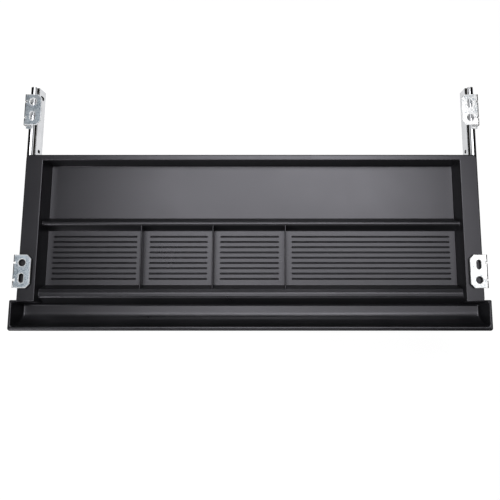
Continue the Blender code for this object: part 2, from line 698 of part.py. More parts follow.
def make_bracket_mesh(parts, cutters):
    """The bracket that all four corners share, with its round hole to the rear."""
    half = BRACKET_LENGTH / 2
    outside = -BRACKET_FACE_X
    inboard = outside + BRACKET_WIDTH
    tab_bottom = SLIDE_TOP + GAP
    bracket = prism("bracket_front_left", [bracket_section()], "XZ", -half, half, parts, BRACKET_ZINC)

    for label, sign in ENDS.items():
        inner_edge = half - TONGUE_END
        low, high = sorted((sign * inner_edge, sign * (inner_edge - TONGUE_GAP)))
        relief = box(f"tongue_gap_{label}", (outside - 1, low, LEG_BOTTOM - 5),
                     (outside + 1.6, high, 1), cutters)
        boolean(bracket, relief, "DIFFERENCE")
        low, high = sorted((sign * (inner_edge - 0.5), sign * (half + 1)))
        trim = box(f"tongue_trim_{label}", (outside - 1, low, LEG_BOTTOM - 5),
                   (inboard, high, tab_bottom + 0.1), cutters)
        boolean(bracket, trim, "DIFFERENCE")
        low, high = sorted((sign * (inner_edge + 0.3), sign * (half + 2.3)))
        tab = box(f"tab_{label}", (outside + 0.2, low, tab_bottom),
                  (outside + BRACKET_SHEET + TAB_REACH, high, tab_bottom + BRACKET_SHEET), cutters)
        boolean(bracket, tab, "UNION")
        corner = prism(f"corner_{label}", [(
            (inboard - BRACKET_CHAMFER, sign * (half + 1)), (inboard + 2, sign * (half + 1)),
            (inboard + 2, sign * (half - BRACKET_CHAMFER - 1)),
            (inboard, sign * (half - BRACKET_CHAMFER)), (inboard - BRACKET_CHAMFER, sign * half),
        )], "XY", -BRACKET_SHEET - 1, 1, cutters)
        boolean(bracket, corner, "DIFFERENCE")

    mid_x = outside + BRACKET_WIDTH / 2
    hole = circle(mid_x, half - HOLE_FROM_END, HOLE_RADIUS, 24)
    long_hole = slot(mid_x, SLOT_FROM_END - half, SLOT_WIDTH, SLOT_LENGTH)
    holes = prism("fixing_holes", [hole, long_hole], "XY", -BRACKET_SHEET - 1, 1, cutters)
    boolean(bracket, holes, "DIFFERENCE")
    rivet_holes = rods("leg_holes", [(outside, 0, SLIDE_Z + RIVET_W * level) for level in (1, -1)], "X",
                       RIVET_RADIUS + GAP, 6, cutters, 16)
    boolean(bracket, rivet_holes, "DIFFERENCE")

    bpy.context.view_layer.update()
    mesh = bpy.data.meshes.new_from_object(
        bracket.evaluated_get(bpy.context.evaluated_depsgraph_get()))
    mesh.name = "bracket"
    bpy.data.objects.remove(bracket, do_unlink=True)
    return mesh


def make_brackets(parts, cutters):
    """Four equal brackets: a right one is a left one turned half round."""
    mesh = make_bracket_mesh(parts, cutters)
    for side_label, side in SIDES.items():
        for end_label, end in ENDS.items():
            bracket = add_object(f"bracket_{end_label}_{side_label}", mesh, parts)
            bracket.location = (0, end * BRACKET_Y * MM, 0)
            bracket.rotation_euler = (0, 0, math.pi if side > 0 else 0)


def fastener_turn(side, outboard):
    """Rotation that lays a fastener along X, its head facing outboard or inboard."""
    return (0, math.pi / 2 * side * (1 if outboard else -1), 0)


def make_rivets(label, side, parts):
    """Rivets through bracket leg and slide, flush on the inside; their own +Z is outboard."""
    head = RIVET_HEAD
    face = BRACKET_SHEET + 2 * GAP
    profile = [(0, face + RIVET_HEAD_HEIGHT), (head * 0.55, face + RIVET_HEAD_HEIGHT * 0.9),
               (head * 0.9, face + RIVET_HEAD_HEIGHT * 0.5), (head, face),
               (RIVET_RADIUS, face), (RIVET_RADIUS, 0.1 - SHEET), (0, 0.1 - SHEET)]
    for end, number, centre in rivet_points(side):
        rivet = turned(f"rivet_{end}_{label}_{number}", profile, parts, ZINC, 16)
        rivet.location = [value * MM for value in centre]
        rivet.rotation_euler = fastener_turn(side, True)


def make_screws(label, side, parts):
    """Pan-head screws, heads inside the slide's channel and tips inboard of the skirt."""
    head = SCREW_HEAD
    top = SCREW_HEAD_HEIGHT
    profile = [(0, top), (head * 0.6, top * 0.95), (head * 0.92, top * 0.6), (head, 0),
               (SCREW_RADIUS, 0), (SCREW_RADIUS, 1.2 - SCREW_LENGTH), (0, -SCREW_LENGTH)]
    for number, y in enumerate(SCREW_Y, start=1):
        screw = turned(f"tray_screw_{label}_{number}", profile, parts, ZINC, 16)
        screw.location = (side_x(side, SLIDE_DEPTH - SHEET - GAP) * MM, y * MM, SLIDE_Z * MM)
        screw.rotation_euler = fastener_turn(side, True)


# ---------------------------------------------------------------- assembly

def motion_empty(name, pieces, group):
    """An empty that carries the pieces of one sliding body; each body slides along Y."""
    empty = bpy.data.objects.new(name, None)
    empty.empty_display_type = "ARROWS"
    empty.empty_display_size = 20 * MM
    group.objects.link(empty)
    for piece in pieces:
        piece.parent = empty


def main():
    clear_scene()
    parts = new_collection("under_desk_drawer")
    cutters = new_collection("cutters")
    drawer = [make_tray(parts, cutters)]
    for label, side in SIDES.items():
        make_outer_member(label, side, parts, cutters)
        drawer.append(make_inner_member(label, side, parts, cutters))
        carried = [make_cage(label, side, parts, cutters)] + make_balls(label, side, parts)
        motion_empty(f"cage_{label}_motion", carried, parts)
        make_bumper(label, side, parts)
        make_rivets(label, side, parts)
        make_screws(label, side, parts)
    make_brackets(parts, cutters)
    drawer += [item for item in parts.objects if item.name.startswith("tray_screw")]
    motion_empty("drawer_motion", drawer, parts)


main()
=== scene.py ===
"""Looks of the under desk drawer: a fine moulded tray, zinc slides and brackets, and their finishes.

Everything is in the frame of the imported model, in metres; constants named without a unit are millimetres.
"""
import math

import bmesh
import bpy
from mathutils import Matrix, Vector


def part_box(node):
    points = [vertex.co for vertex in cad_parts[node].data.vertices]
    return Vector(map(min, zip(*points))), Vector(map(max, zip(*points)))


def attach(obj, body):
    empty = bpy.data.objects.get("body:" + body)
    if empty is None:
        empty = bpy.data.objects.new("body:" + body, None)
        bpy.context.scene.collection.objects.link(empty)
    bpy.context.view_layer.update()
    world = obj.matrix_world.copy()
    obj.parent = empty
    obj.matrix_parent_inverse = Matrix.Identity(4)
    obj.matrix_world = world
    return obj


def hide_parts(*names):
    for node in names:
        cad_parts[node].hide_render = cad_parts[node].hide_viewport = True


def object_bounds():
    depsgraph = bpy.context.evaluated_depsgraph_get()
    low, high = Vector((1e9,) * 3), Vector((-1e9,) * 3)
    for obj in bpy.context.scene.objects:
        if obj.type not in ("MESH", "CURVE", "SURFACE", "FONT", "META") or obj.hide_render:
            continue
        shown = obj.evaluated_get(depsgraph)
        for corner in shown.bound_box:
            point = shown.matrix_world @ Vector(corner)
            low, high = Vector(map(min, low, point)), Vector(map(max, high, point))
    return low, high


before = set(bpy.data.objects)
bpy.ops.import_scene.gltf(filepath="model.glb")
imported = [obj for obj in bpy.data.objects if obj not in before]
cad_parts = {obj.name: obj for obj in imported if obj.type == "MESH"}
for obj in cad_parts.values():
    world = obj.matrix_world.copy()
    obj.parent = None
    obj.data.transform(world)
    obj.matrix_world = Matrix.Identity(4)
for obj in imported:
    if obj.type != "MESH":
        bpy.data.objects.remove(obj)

MM = 0.001
GAP = 0.3                     # clearance between touching pieces
CAD_LOW, CAD_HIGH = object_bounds()


def box_mm(node):
    low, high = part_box(node)
    return low / MM, high / MM


TRAY_LOW, TRAY_HIGH = box_mm("drawer_tray")
OUTER_LOW, OUTER_HIGH = box_mm("slide_outer_right")
INNER_LOW, INNER_HIGH = box_mm("slide_inner_right")
BUMPER_LOW = box_mm("closing_bumper_right")[0]
BRACKET_LOW, BRACKET_HIGH = box_mm("bracket_front_left")

SIDES = {"left": -1, "right": 1}
ENDS = {"front": -1, "rear": 1}

# Tray, across
RIM_Z = TRAY_HIGH.z
TROUGH_HALF = TRAY_HIGH.x
RAIL_HALF = 259.25
RAIL_WIDTH = 20.0
WELL_HALF = RAIL_HALF - RAIL_WIDTH
WALL = 2.4
RAIL_THICKNESS = 2.0
SIDE_LEAN = 0.15
END_LEAN = 0.2
CORNER = 4.5
TROUGH_CORNER = 3.0
EAR_CORNER = 1.5
EDGE = 1.2
FRONT_EDGE = 3.2

# Tray, from back to front
TRAY_BACK = TRAY_HIGH.y
FRONT_LEAN = 1.7 / 26.9
TRAY_FRONT = TRAY_LOW.y + 0.01 - FRONT_LEAN * FRONT_EDGE
REAR_WALL_TOP = TRAY_BACK - 6.6
REAR_LEAN = 2.7
REAR_WALL_FOOT = REAR_WALL_TOP - REAR_LEAN
MID_RIDGE_BACK = REAR_WALL_FOOT - 62.1
MID_RIDGE_FRONT = MID_RIDGE_BACK - 13.9
RIDGE_CREST = 4.6
FRONT_RIDGE_BACK = MID_RIDGE_FRONT - 62.2
SHOULDER = FRONT_RIDGE_BACK - 3.9
CREST = FRONT_RIDGE_BACK - 8.6
TROUGH_BACK = FRONT_RIDGE_BACK - 17.8
RIDGE_NOSE = TROUGH_BACK + 3.8
TROUGH_FOOT = TROUGH_BACK - 2.6
TROUGH_BACK_FACE = TROUGH_BACK + 1.7
TROUGH_FRONT = TROUGH_BACK - 26.8
TROUGH_END = 263.8

# Tray, depths
FLOOR_DEPTH = 24.0
FLOOR_Z = RIM_Z - FLOOR_DEPTH
FLOOR_UNDERSIDE = FLOOR_Z - WALL
TROUGH_Z = RIM_Z - 24.5
MID_RIDGE_Z = RIM_Z - 7.0
FRONT_RIDGE_Z = RIM_Z - 8.0
SHOULDER_Z = FRONT_RIDGE_Z - 1.5
SKIRT_BOTTOM = TRAY_LOW.z
CUTTER_RISE = 8.0             # how far the cutters of the hollows stand above the rim

DIVIDER_X = (-125.0, -43.5, 39.0)
DIVIDER = 1.5
DIVIDER_DROP = 0.8
GROOVE_COUNT = 9
GROOVE_PITCH = 6.0
GROOVE_WIDTH = 2.2
GROOVE_BOTTOM = 0.2
GROOVE_DEPTH = 1.5
GROOVE_MARGIN = 6.5
GUSSET_COUNT = 4
GUSSET_PITCH = 38.0
GUSSET_SHEET = 1.8
GUSSET_DEPTH = 23.0
GUSSET_FIRST = 20.0           # behind the trough's rear edge

# Slides: u is the distance inboard from a slide's outer face, w the height from its centre line
SLIDE_HALF = OUTER_HIGH.y
SLIDE_FACE_X = OUTER_HIGH.x
SLIDE_Z = (OUTER_LOW.z + OUTER_HIGH.z) / 2
SLIDE_DEPTH = SLIDE_FACE_X - INNER_LOW.x
INNER_HALF = (INNER_HIGH.z - INNER_LOW.z) / 2
SHEET = 1.2
BALL_U = 3.4
BALL_W = (OUTER_HIGH.z - OUTER_LOW.z) / 2 - BALL_U
BALL_RACE_END = 8.6           # how far inboard the race on the drawer member reaches, dark with grease and painted shade
LUG_HALF = 4.5
SCREW_Y = (-98.5, -34.5, 29.5)
SCREW_RADIUS = 1.8
SCREW_HEAD = 3.6
SCREW_HEAD_HEIGHT = 1.9
SCREW_LENGTH = 8.0
THREAD_TURNS = 6
THREAD_PITCH = 0.95
THREAD_FIRST = 0.9            # from under the head to the first groove
THREAD_RISE = 0.45            # from each groove to the next crest
THREAD_ROOT = 1.5
RIVET_RADIUS = 2.0
RIVET_HEAD = 3.4
RIVET_HEAD_HEIGHT = 1.2
RIVET_W = 8.5                 # the two rivets of a bracket, above and below the slide's centre line

# Openings in the drawer member's web: y, z, width and height
WEB_SLOTS = (
    (TRAY_BACK + 7.5, SLIDE_Z + 0.8, 3.8, 8.0),
    (BUMPER_LOW.y + 3.4, SLIDE_Z + 0.6, 4.4, 12.0),
)

# Brackets
BRACKET_SHEET = 1.5
BRACKET_LENGTH = 36.5
BRACKET_WIDTH = BRACKET_HIGH.x - BRACKET_LOW.x
BRACKET_FACE_X = -BRACKET_LOW.x
BRACKET_Y = -(BRACKET_LOW.y + BRACKET_HIGH.y) / 2
BRACKET_CHAMFER = 4.5
HOLE_RADIUS = 3.9
HOLE_FROM_END = 8.8
SLOT_WIDTH = 5.2
SLOT_LENGTH = 10.2
SLOT_FROM_END = 10.8
TONGUE = 8.0
NOTCH_WIDTH = 1.7
NOTCH_DEPTH = 2.6
TAB_REACH = 2.3
# width of the bracket chamfers that carry a painted highlight
HIGHLIGHT_CHAMFER = 0.8

# Camera: its place is in metres, and its height is above the rim
LENS = 50.11
SENSOR = 36.0
LENS_SHIFT = (-0.056, -0.2)
CAMERA_PLACE = (0.0306, -0.1105, 0.7871)
LOOK_DOWN = 78.78             # degrees below the horizon

# Studio, in metres: what the board gives to reflections glows under the drawer's middle and is dim outside
BOARD_HALF = 3.0
BOARD_DROP = 0.12
CARD_HALF = 0.21
CARD_FADE = 0.28
CARD_GLOW = 0.9
SURROUND_GLOW = 0.05
WORLD_GLOW = 0.01
LIGHT_TARGET = (0, -0.03, 0)
LIGHT_DISTANCE = 1.4
COOL_LIGHT = (0.60, 0.81, 1.0)

# Name, angle off the vertical, azimuth from +X to +Y, size in metres and power in watts
SOFT_LIGHTS = (
    ("overhead_front", 8, 270, (0.6, 0.35), 2.0),
    ("overhead_rear", 8, 90, (0.6, 0.35), 1.35),
    ("far_rear", 16, 90, (0.7, 0.35), 1.8),
    ("rear_right", 18, 50, (0.5, 0.4), 2.8),
    ("rear_left", 18, 130, (0.5, 0.4), 1.5),
    ("right", 20, 0, (0.5, 0.5), 1.5),
    ("left", 14, 180, (0.5, 0.5), 1.5),
    ("low_front_left", 60, 225, (0.8, 0.8), 7.3),
    ("low_front", 62, 270, (0.9, 0.7), 1.8),
    ("low_rear", 62, 90, (0.9, 0.7), 3.3),
    ("side_right", 48, 12, (1.0, 0.9), 4.5),
    ("side_left", 48, 168, (1.0, 0.9), 4.5),
    ("cool_left", 16, 155, (0.6, 0.5), 1.3),
)


# ---------------------------------------------------------------- shapes

def arc(centre, radius, start, end, steps):
    """Points along an arc, angles in degrees."""
    points = []
    for step in range(steps + 1):
        angle = math.radians(start + (end - start) * step / steps)
        points.append((centre[0] + radius * math.cos(angle), centre[1] + radius * math.sin(angle)))
    return points


def rounded(corners, steps=8):
    """An outline from (a, b, radius) corners, each corner with a radius replaced by an arc."""
    outline = []
    count = len(corners)
    for index, (a, b, radius) in enumerate(corners):
        if radius <= 0:
            outline.append((a, b))
            continue
        corner = Vector((a, b))
        ray_in = (Vector(corners[index - 1][:2]) - corner).normalized()
        ray_out = (Vector(corners[(index + 1) % count][:2]) - corner).normalized()
        half = ray_in.angle(ray_out) / 2
        centre = corner + (ray_in + ray_out).normalized() * radius / math.sin(half)
        tangent = radius / math.tan(half)
        first = corner + ray_in * tangent - centre
        last = corner + ray_out * tangent - centre
        start = math.atan2(first.y, first.x)
        turn = math.atan2(last.y, last.x) - start
        turn = (turn + math.pi) % (2 * math.pi) - math.pi
        outline += arc(centre, radius, math.degrees(start), math.degrees(start + turn), steps)
    return outline


def circle(a, b, radius, steps=40):
    return arc((a, b), radius, 0, 360 - 360 / steps, steps - 1)


def slot_outline(a, b, width, length, steps=16):
    """A round-ended slot that runs along b."""
    straight = (length - width) / 2
    return (arc((a, b + straight), width / 2, 0, 180, steps)
            + arc((a, b - straight), width / 2, 180, 360, steps))


PLANES = {
    "XY": Matrix.Identity(4),
    "XZ": Matrix(((1, 0, 0, 0), (0, 0, -1, 0), (0, 1, 0, 0), (0, 0, 0, 1))),
    "YZ": Matrix(((0, 0, 1, 0), (1, 0, 0, 0), (0, 1, 0, 0), (0, 0, 0, 1))),
}


def link(name, mesh):
    made = bpy.data.objects.new(name, mesh)
    bpy.context.scene.collection.objects.link(made)
    return made


def prism(name, outline, plane, low, high):
    """A flat outline extruded between two distances along the third axis, as a closed mesh."""
    mesh = bpy.data.meshes.new(name)
    work = bmesh.new()
    middle = -high if plane == "XZ" else low
    place = PLANES[plane] @ Matrix.Translation((0, 0, middle * MM))
    ring = [work.verts.new(place @ Vector((a * MM, b * MM, 0))) for a, b in outline]
    face = work.faces.new(ring)
    swept = bmesh.ops.extrude_face_region(work, geom=[face])
    lift = place.to_3x3() @ Vector((0, 0, (high - low) * MM))
    moved = [item for item in swept["geom"] if isinstance(item, bmesh.types.BMVert)]
    bmesh.ops.translate(work, verts=moved, vec=lift)
    bmesh.ops.recalc_face_normals(work, faces=work.faces)
    work.to_mesh(mesh)
    work.free()
    return link(name, mesh)


def brick(name, low, high):
    return prism(name, [(low[0], low[1]), (high[0], low[1]), (high[0], high[1]), (low[0], high[1])],
                 "XY", low[2], high[2])


def lean_ends(target, lean):
    """Draw both X ends of a prism in, in proportion to the depth below the rim."""
    for vertex in target.data.vertices:
        depth = RIM_Z * MM - vertex.co.z
        vertex.co.x -= math.copysign(1, vertex.co.x) * lean * depth


def roll_edge(target, outward, radius):
    """Round a prism's edge at the rim: flare a cutter's mouth outwards, or draw a solid's edge in.

    The radius is a function of the direction that the wall faces.
    """
    work = bmesh.new()
    work.from_mesh(target.data)
    widest = radius(Vector((0, -1)))
    steps = 8
    for step in range(steps + 1):
        level = RIM_Z - widest * (1 - math.sin(math.pi / 2 * step / steps))
        everything = work.verts[:] + work.edges[:] + work.faces[:]
        bmesh.ops.bisect_plane(work, geom=everything, plane_co=(0, 0, level * MM), plane_no=(0, 0, 1),
                               dist=0.001 * MM)
    work.normal_update()
    moves = []
    for vertex in work.verts:
        facing = vertex.normal.xy
        if facing.length < 0.1:
            continue
        facing.normalize()
        reach = radius(facing)
        rise = min(max(vertex.co.z / MM - RIM_Z + reach, 0), reach)
        shift = (reach - math.sqrt(reach ** 2 - rise ** 2)) * MM
        moves.append((vertex, facing.to_3d() * shift * (1 if outward else -1)))
    for vertex, move in moves:
        vertex.co += move
    work.to_mesh(target.data)
    work.free()


def even_edge(facing):
    """The same radius whichever way the wall faces."""
    return EDGE


def trough_edge(facing):
    """The lip in front is rounder than the ends and the ears."""
    return EDGE + (FRONT_EDGE - EDGE) * max(0, -facing.y) ** 2


def round_edges(target, width, segments=3, angle=35.0):
    """Round the sharp edges of a mesh."""
    work = bmesh.new()
    work.from_mesh(target.data)
    limit = math.radians(angle)
    edges = []
    for edge in work.edges:
        if len(edge.link_faces) == 2 and edge.calc_face_angle(0) >= limit:
            edges.append(edge)
    bmesh.ops.bevel(work, geom=edges, offset=width * MM, segments=segments, profile=0.5,
                    affect="EDGES", clamp_overlap=True)
    work.to_mesh(target.data)
    work.free()


def combine(target, tool, operation):
    """Boolean the tool into the target, then drop the tool."""
    modifier = target.modifiers.new("boolean", "BOOLEAN")
    modifier.operation = operation
    modifier.object = tool
    modifier.solver = "EXACT"
    bpy.context.view_layer.update()
    made = bpy.data.meshes.new_from_object(target.evaluated_get(bpy.context.evaluated_depsgraph_get()))
    target.modifiers.clear()
    old = target.data
    target.data = made
    bpy.data.meshes.remove(old)
    bpy.data.objects.remove(tool, do_unlink=True)


def clean(target, distance=0.004, angle=0.2):
    """Weld stray points and merge flat neighbours, so that edges can be rounded."""
    work = bmesh.new()
    work.from_mesh(target.data)
    bmesh.ops.remove_doubles(work, verts=work.verts, dist=distance * MM)
    bmesh.ops.dissolve_limit(work, angle_limit=math.radians(angle), verts=work.verts, edges=work.edges)
    work.to_mesh(target.data)
    work.free()


def shade(target, angle=38.0):
    """Smooth shading with face-weighted normals, sharp above an angle."""
    target.data.shade_smooth()
    target.data.set_sharp_from_angle(angle=math.radians(angle))
    weighted = target.modifiers.new("weighted_normals", "WEIGHTED_NORMAL")
    weighted.keep_sharp = True
    weighted.weight = 80


def turned(name, profile, steps=40):
    """A solid of revolution about Z, from (radius, height) points that run top to bottom."""
    mesh = bpy.data.meshes.new(name)
    work = bmesh.new()
    rings = []
    for radius, height in profile:
        if radius == 0:
            rings.append([work.verts.new((0, 0, height * MM))])
            continue
        rings.append([work.verts.new((radius * MM * math.cos(2 * math.pi * i / steps),
                                      radius * MM * math.sin(2 * math.pi * i / steps), height * MM))
                      for i in range(steps)])
    for upper, lower in zip(rings, rings[1:]):
        for i in range(steps):
            j = (i + 1) % steps
            corners = [upper[i % len(upper)], lower[i % len(lower)],
                       lower[j % len(lower)], upper[j % len(upper)]]
            work.faces.new(list(dict.fromkeys(corners)))
    bmesh.ops.recalc_face_normals(work, faces=work.faces)
    work.to_mesh(mesh)
    work.free()
    return link(name, mesh)


def side_x(side, u):
    """X of a point that lies u inboard from the outer face of the slide on one side."""
    return side * (SLIDE_FACE_X - u)


# ---------------------------------------------------------------- materials

def new_material(name):
    material = bpy.data.materials.new(name)
    material.use_nodes = True
    return material, material.node_tree, material.node_tree.nodes["Principled BSDF"]


def node(tree, kind, **values):
    made = tree.nodes.new(kind)
    for key, value in values.items():
        setattr(made, key, value)
    return made


def coordinates(tree, stretch=(1, 1, 1)):
    """Object coordinates, which are the row's own metres, stretched per axis."""
    source = node(tree, "ShaderNodeTexCoord")
    mapping = node(tree, "ShaderNodeMapping")
    mapping.inputs["Scale"].default_value = stretch
    tree.links.new(source.outputs["Object"], mapping.inputs["Vector"])
    return mapping.outputs["Vector"]


def noise(tree, vector, scale, detail=3.0, roughness=0.55):
    made = node(tree, "ShaderNodeTexNoise")
    made.inputs["Scale"].default_value = scale
    made.inputs["Detail"].default_value = detail
    made.inputs["Roughness"].default_value = roughness
    tree.links.new(vector, made.inputs["Vector"])
    return made.outputs["Fac"]


def ramp(tree, value, stops):
    """A colour ramp from (position, colour) stops."""
    made = node(tree, "ShaderNodeValToRGB")
    elements = made.color_ramp.elements
    while len(elements) < len(stops):
        elements.new(0.5)
    for element, (position, colour) in zip(elements, stops):
        element.position = position
        element.color = (*colour, 1.0)
    tree.links.new(value, made.inputs["Fac"])
    return made.outputs["Color"]


def grey_range(tree, value, low, high):
    made = node(tree, "ShaderNodeMapRange")
    made.inputs["From Min"].default_value = 0.25
    made.inputs["From Max"].default_value = 0.75
    made.inputs["To Min"].default_value = low
    made.inputs["To Max"].default_value = high
    tree.links.new(value, made.inputs["Value"])
    return made.outputs["Result"]


def bump(tree, shader, heights):
    """Chain bump nodes from (height, distance in mm, strength) entries."""
    normal = None
    for height, distance, strength in heights:
        made = node(tree, "ShaderNodeBump")
        made.inputs["Distance"].default_value = distance * MM
        made.inputs["Strength"].default_value = strength
        tree.links.new(height, made.inputs["Height"])
        if normal:
            tree.links.new(normal, made.inputs["Normal"])
        normal = made.outputs["Normal"]
    tree.links.new(normal, shader.inputs["Normal"])


def plastic_material():
    """Black moulded plastic: a fine satin mould grain with faint flow marks and handling wear."""
    material, tree, shader = new_material("moulded_black_plastic")
    place = coordinates(tree)
    cloud = noise(tree, place, 18.0, 4.0)
    fine = noise(tree, place, 420.0, 3.0)
    grain = noise(tree, place, 2600.0, 2.0, 0.6)
    colour = ramp(tree, cloud, [(0.3, (0.0080, 0.0080, 0.0092)), (0.7, (0.0115, 0.0115, 0.0130))])
    tree.links.new(colour, shader.inputs["Base Color"])
    mixed = node(tree, "ShaderNodeMath", operation="MULTIPLY_ADD")
    tree.links.new(fine, mixed.inputs[0])
    mixed.inputs[1].default_value = 0.35
    tree.links.new(cloud, mixed.inputs[2])
    tree.links.new(grey_range(tree, mixed.outputs[0], 0.25, 0.31), shader.inputs["Roughness"])
    shader.inputs["IOR"].default_value = 1.5
    shader.inputs["Specular IOR Level"].default_value = 0.59
    shader.inputs["Specular Tint"].default_value = (0.93, 0.915, 1.0, 1)
    bump(tree, shader, [(grain, 0.03, 0.35), (fine, 0.05, 0.12)])
    return material


def zinc_material(name, stretch, low, high, rough_low, rough_high, mottle, metallic=1.0):
    """Zinc-plated steel: roll lines or a crystalline mottle, with a faint blue-yellow drift."""
    material, tree, shader = new_material(name)
    place = coordinates(tree, stretch)
    even = coordinates(tree)
    lines = noise(tree, place, 900.0, 3.0, 0.6)
    cloud = noise(tree, even, 60.0, 4.0)
    crystals = node(tree, "ShaderNodeTexVoronoi")
    crystals.inputs["Scale"].default_value = 700.0
    tree.links.new(even, crystals.inputs["Vector"])
    blend = node(tree, "ShaderNodeMath", operation="MULTIPLY_ADD")
    tree.links.new(crystals.outputs["Color"], blend.inputs[0])
    blend.inputs[1].default_value = mottle
    tree.links.new(cloud, blend.inputs[2])
    tree.links.new(ramp(tree, blend.outputs[0], [(0.35, low), (0.9, high)]), shader.inputs["Base Color"])
    shader.inputs["Metallic"].default_value = metallic
    tree.links.new(grey_range(tree, lines, rough_low, rough_high), shader.inputs["Roughness"])
    bump(tree, shader, [(lines, 0.02, 0.25), (cloud, 0.15, 0.15)])
    return material


def steel_material():
    """Polished bearing steel under a greasy film."""
    material, tree, shader = new_material("bearing_steel")
    smear = noise(tree, coordinates(tree), 500.0, 3.0)
    tree.links.new(ramp(tree, smear, [(0.3, (0.60, 0.60, 0.60)), (0.7, (0.72, 0.72, 0.73))]),
                   shader.inputs["Base Color"])
    shader.inputs["Metallic"].default_value = 1.0
    tree.links.new(grey_range(tree, smear, 0.06, 0.2), shader.inputs["Roughness"])
    bump(tree, shader, [(smear, 0.01, 0.1)])
    return material


def rubber_material():
    material, tree, shader = new_material("bumper_rubber")
    grain = noise(tree, coordinates(tree), 1500.0, 3.0)
    tree.links.new(ramp(tree, grain, [(0.3, (0.012, 0.012, 0.012)), (0.7, (0.022, 0.022, 0.021))]),
                   shader.inputs["Base Color"])
    tree.links.new(grey_range(tree, grain, 0.65, 0.85), shader.inputs["Roughness"])
    bump(tree, shader, [(grain, 0.05, 0.3)])
    return material


# How the zinc's streaks are stretched: along Y on rolled strip, not at all on cut pieces
ROLLED = (1, 0.02, 1)
PLAIN = (1, 1, 1)

PLASTIC = plastic_material()
SLIDE_ZINC = zinc_material("rolled_zinc", ROLLED, (0.60, 0.61, 0.63), (0.76, 0.77, 0.79), 0.08, 0.15, 0.1)
# Nearly black zinc: grease, and painted shade in the slides' recesses between the members
GREASE_AND_SHADE_ZINC = zinc_material("grease_and_painted_shade_zinc", ROLLED, (0.05, 0.048, 0.044), (0.12, 0.115, 0.105), 0.3, 0.45,
                             0.2)
BRACKET_ZINC = zinc_material("mottled_zinc", PLAIN, (0.35, 0.40, 0.44), (0.98, 0.98, 0.98), 0.24, 0.44, 0.7)
# Near-white, partly diffuse zinc: a painted highlight on the bracket chamfers
PAINTED_HIGHLIGHT_ZINC = zinc_material("painted_highlight_zinc", PLAIN, (0.90, 0.91, 0.92), (0.98, 0.98, 0.98), 0.5, 0.6, 0.1,
                               metallic=0.25)
FASTENER_ZINC = zinc_material("fastener_zinc", PLAIN, (0.48, 0.49, 0.50), (0.66, 0.67, 0.68), 0.25, 0.4, 0.2)
BALL_STEEL = steel_material()
RUBBER = rubber_material()


def finish_piece(piece, materials, body, slot, *nodes):
    """Give a piece its materials and body, and hide the CAD node that it stands for. The slot is not used."""
    for material in materials:
        piece.data.materials.append(material)
    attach(piece, body)
    if nodes:
        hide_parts(*nodes)


# ---------------------------------------------------------------- tray

CREST_BACK = (MID_RIDGE_BACK + MID_RIDGE_FRONT + RIDGE_CREST) / 2
CREST_FRONT = CREST_BACK - RIDGE_CREST


def pan_outline():
    """Underside of the pan: rear wall, floor and the hollows under the two ridges."""
    return rounded((
        (REAR_WALL_TOP + WALL, RIM_Z - 1, 0),
        (REAR_WALL_FOOT + WALL, FLOOR_UNDERSIDE, 3),
        (MID_RIDGE_BACK - WALL, FLOOR_UNDERSIDE, 0.6),
        (CREST_BACK - WALL + 0.4, MID_RIDGE_Z - WALL, 0),
        (CREST_FRONT + WALL - 0.4, MID_RIDGE_Z - WALL, 0),
        (MID_RIDGE_FRONT + WALL, FLOOR_UNDERSIDE, 0.6),
        (FRONT_RIDGE_BACK - WALL, FLOOR_UNDERSIDE, 0.6),
        (SHOULDER - WALL + 0.2, SHOULDER_Z - WALL, 1),
        (RIDGE_NOSE + 1.5, FRONT_RIDGE_Z - WALL - 0.3, 0),
        (TROUGH_FOOT + 1.4, TROUGH_Z - 0.5, 0),
        (TROUGH_FOOT + 1.4, RIM_Z - 1, 0),
    ))


def well_outline():
    """Inside of the pan, from the rear wall over both ridges and down to the trough's floor."""
    above = RIM_Z + CUTTER_RISE
    lean = REAR_LEAN / FLOOR_DEPTH
    floor = TROUGH_Z + 1.2
    return rounded((
        (REAR_WALL_TOP + CUTTER_RISE * lean, above, 0),
        (REAR_WALL_FOOT, FLOOR_Z, 1.5),
        (MID_RIDGE_BACK, FLOOR_Z, 0.4),
        (CREST_BACK, MID_RIDGE_Z, 2.6),
        (CREST_FRONT, MID_RIDGE_Z, 2.6),
        (MID_RIDGE_FRONT, FLOOR_Z, 1.2),
        (FRONT_RIDGE_BACK, FLOOR_Z, 0.4),
        (SHOULDER, SHOULDER_Z, 1.2),
        (CREST, FRONT_RIDGE_Z, 5),
        (RIDGE_NOSE, FRONT_RIDGE_Z - 0.3, 3.7),
        (TROUGH_FOOT - 0.5, floor, 0),
        (TROUGH_FOOT - 6, floor, 0),
        (TROUGH_FOOT - 6, above, 0),
    ), steps=10)


def trough_outer_outline():
    bottom = TROUGH_Z - WALL
    return rounded((
        (TROUGH_BACK_FACE, RIM_Z, 0),
        (TROUGH_BACK_FACE - 1.9, bottom, 5),
        (TRAY_FRONT + 1.7, bottom, 14.5),
        (TRAY_FRONT, RIM_Z, 0),
    ), steps=14)


def trough_inner_outline():
    """Steep behind, flat below, and one wide curve up to the front."""
    above = RIM_Z + CUTTER_RISE
    return rounded((
        (TROUGH_BACK + 0.85, above, 0),
        (TROUGH_FOOT, TROUGH_Z, 3.5),
        (TROUGH_FRONT + 1.7, TROUGH_Z, 14.5),
        (TROUGH_FRONT - 0.55, above, 0),
    ), steps=18)


def bays():
    """X limits of the four bays of the ribbed floor."""
    edge = WELL_HALF - SIDE_LEAN * (RIM_Z - FLOOR_Z)
    limits = [-edge]
    for x in DIVIDER_X:
        limits += [x - DIVIDER / 2, x + DIVIDER / 2]
    limits.append(edge)
    return list(zip(limits[0::2], limits[1::2]))


def groove_lines():
    middle = (MID_RIDGE_FRONT + FRONT_RIDGE_BACK) / 2
    return [middle + (i - (GROOVE_COUNT - 1) / 2) * GROOVE_PITCH for i in range(GROOVE_COUNT)]


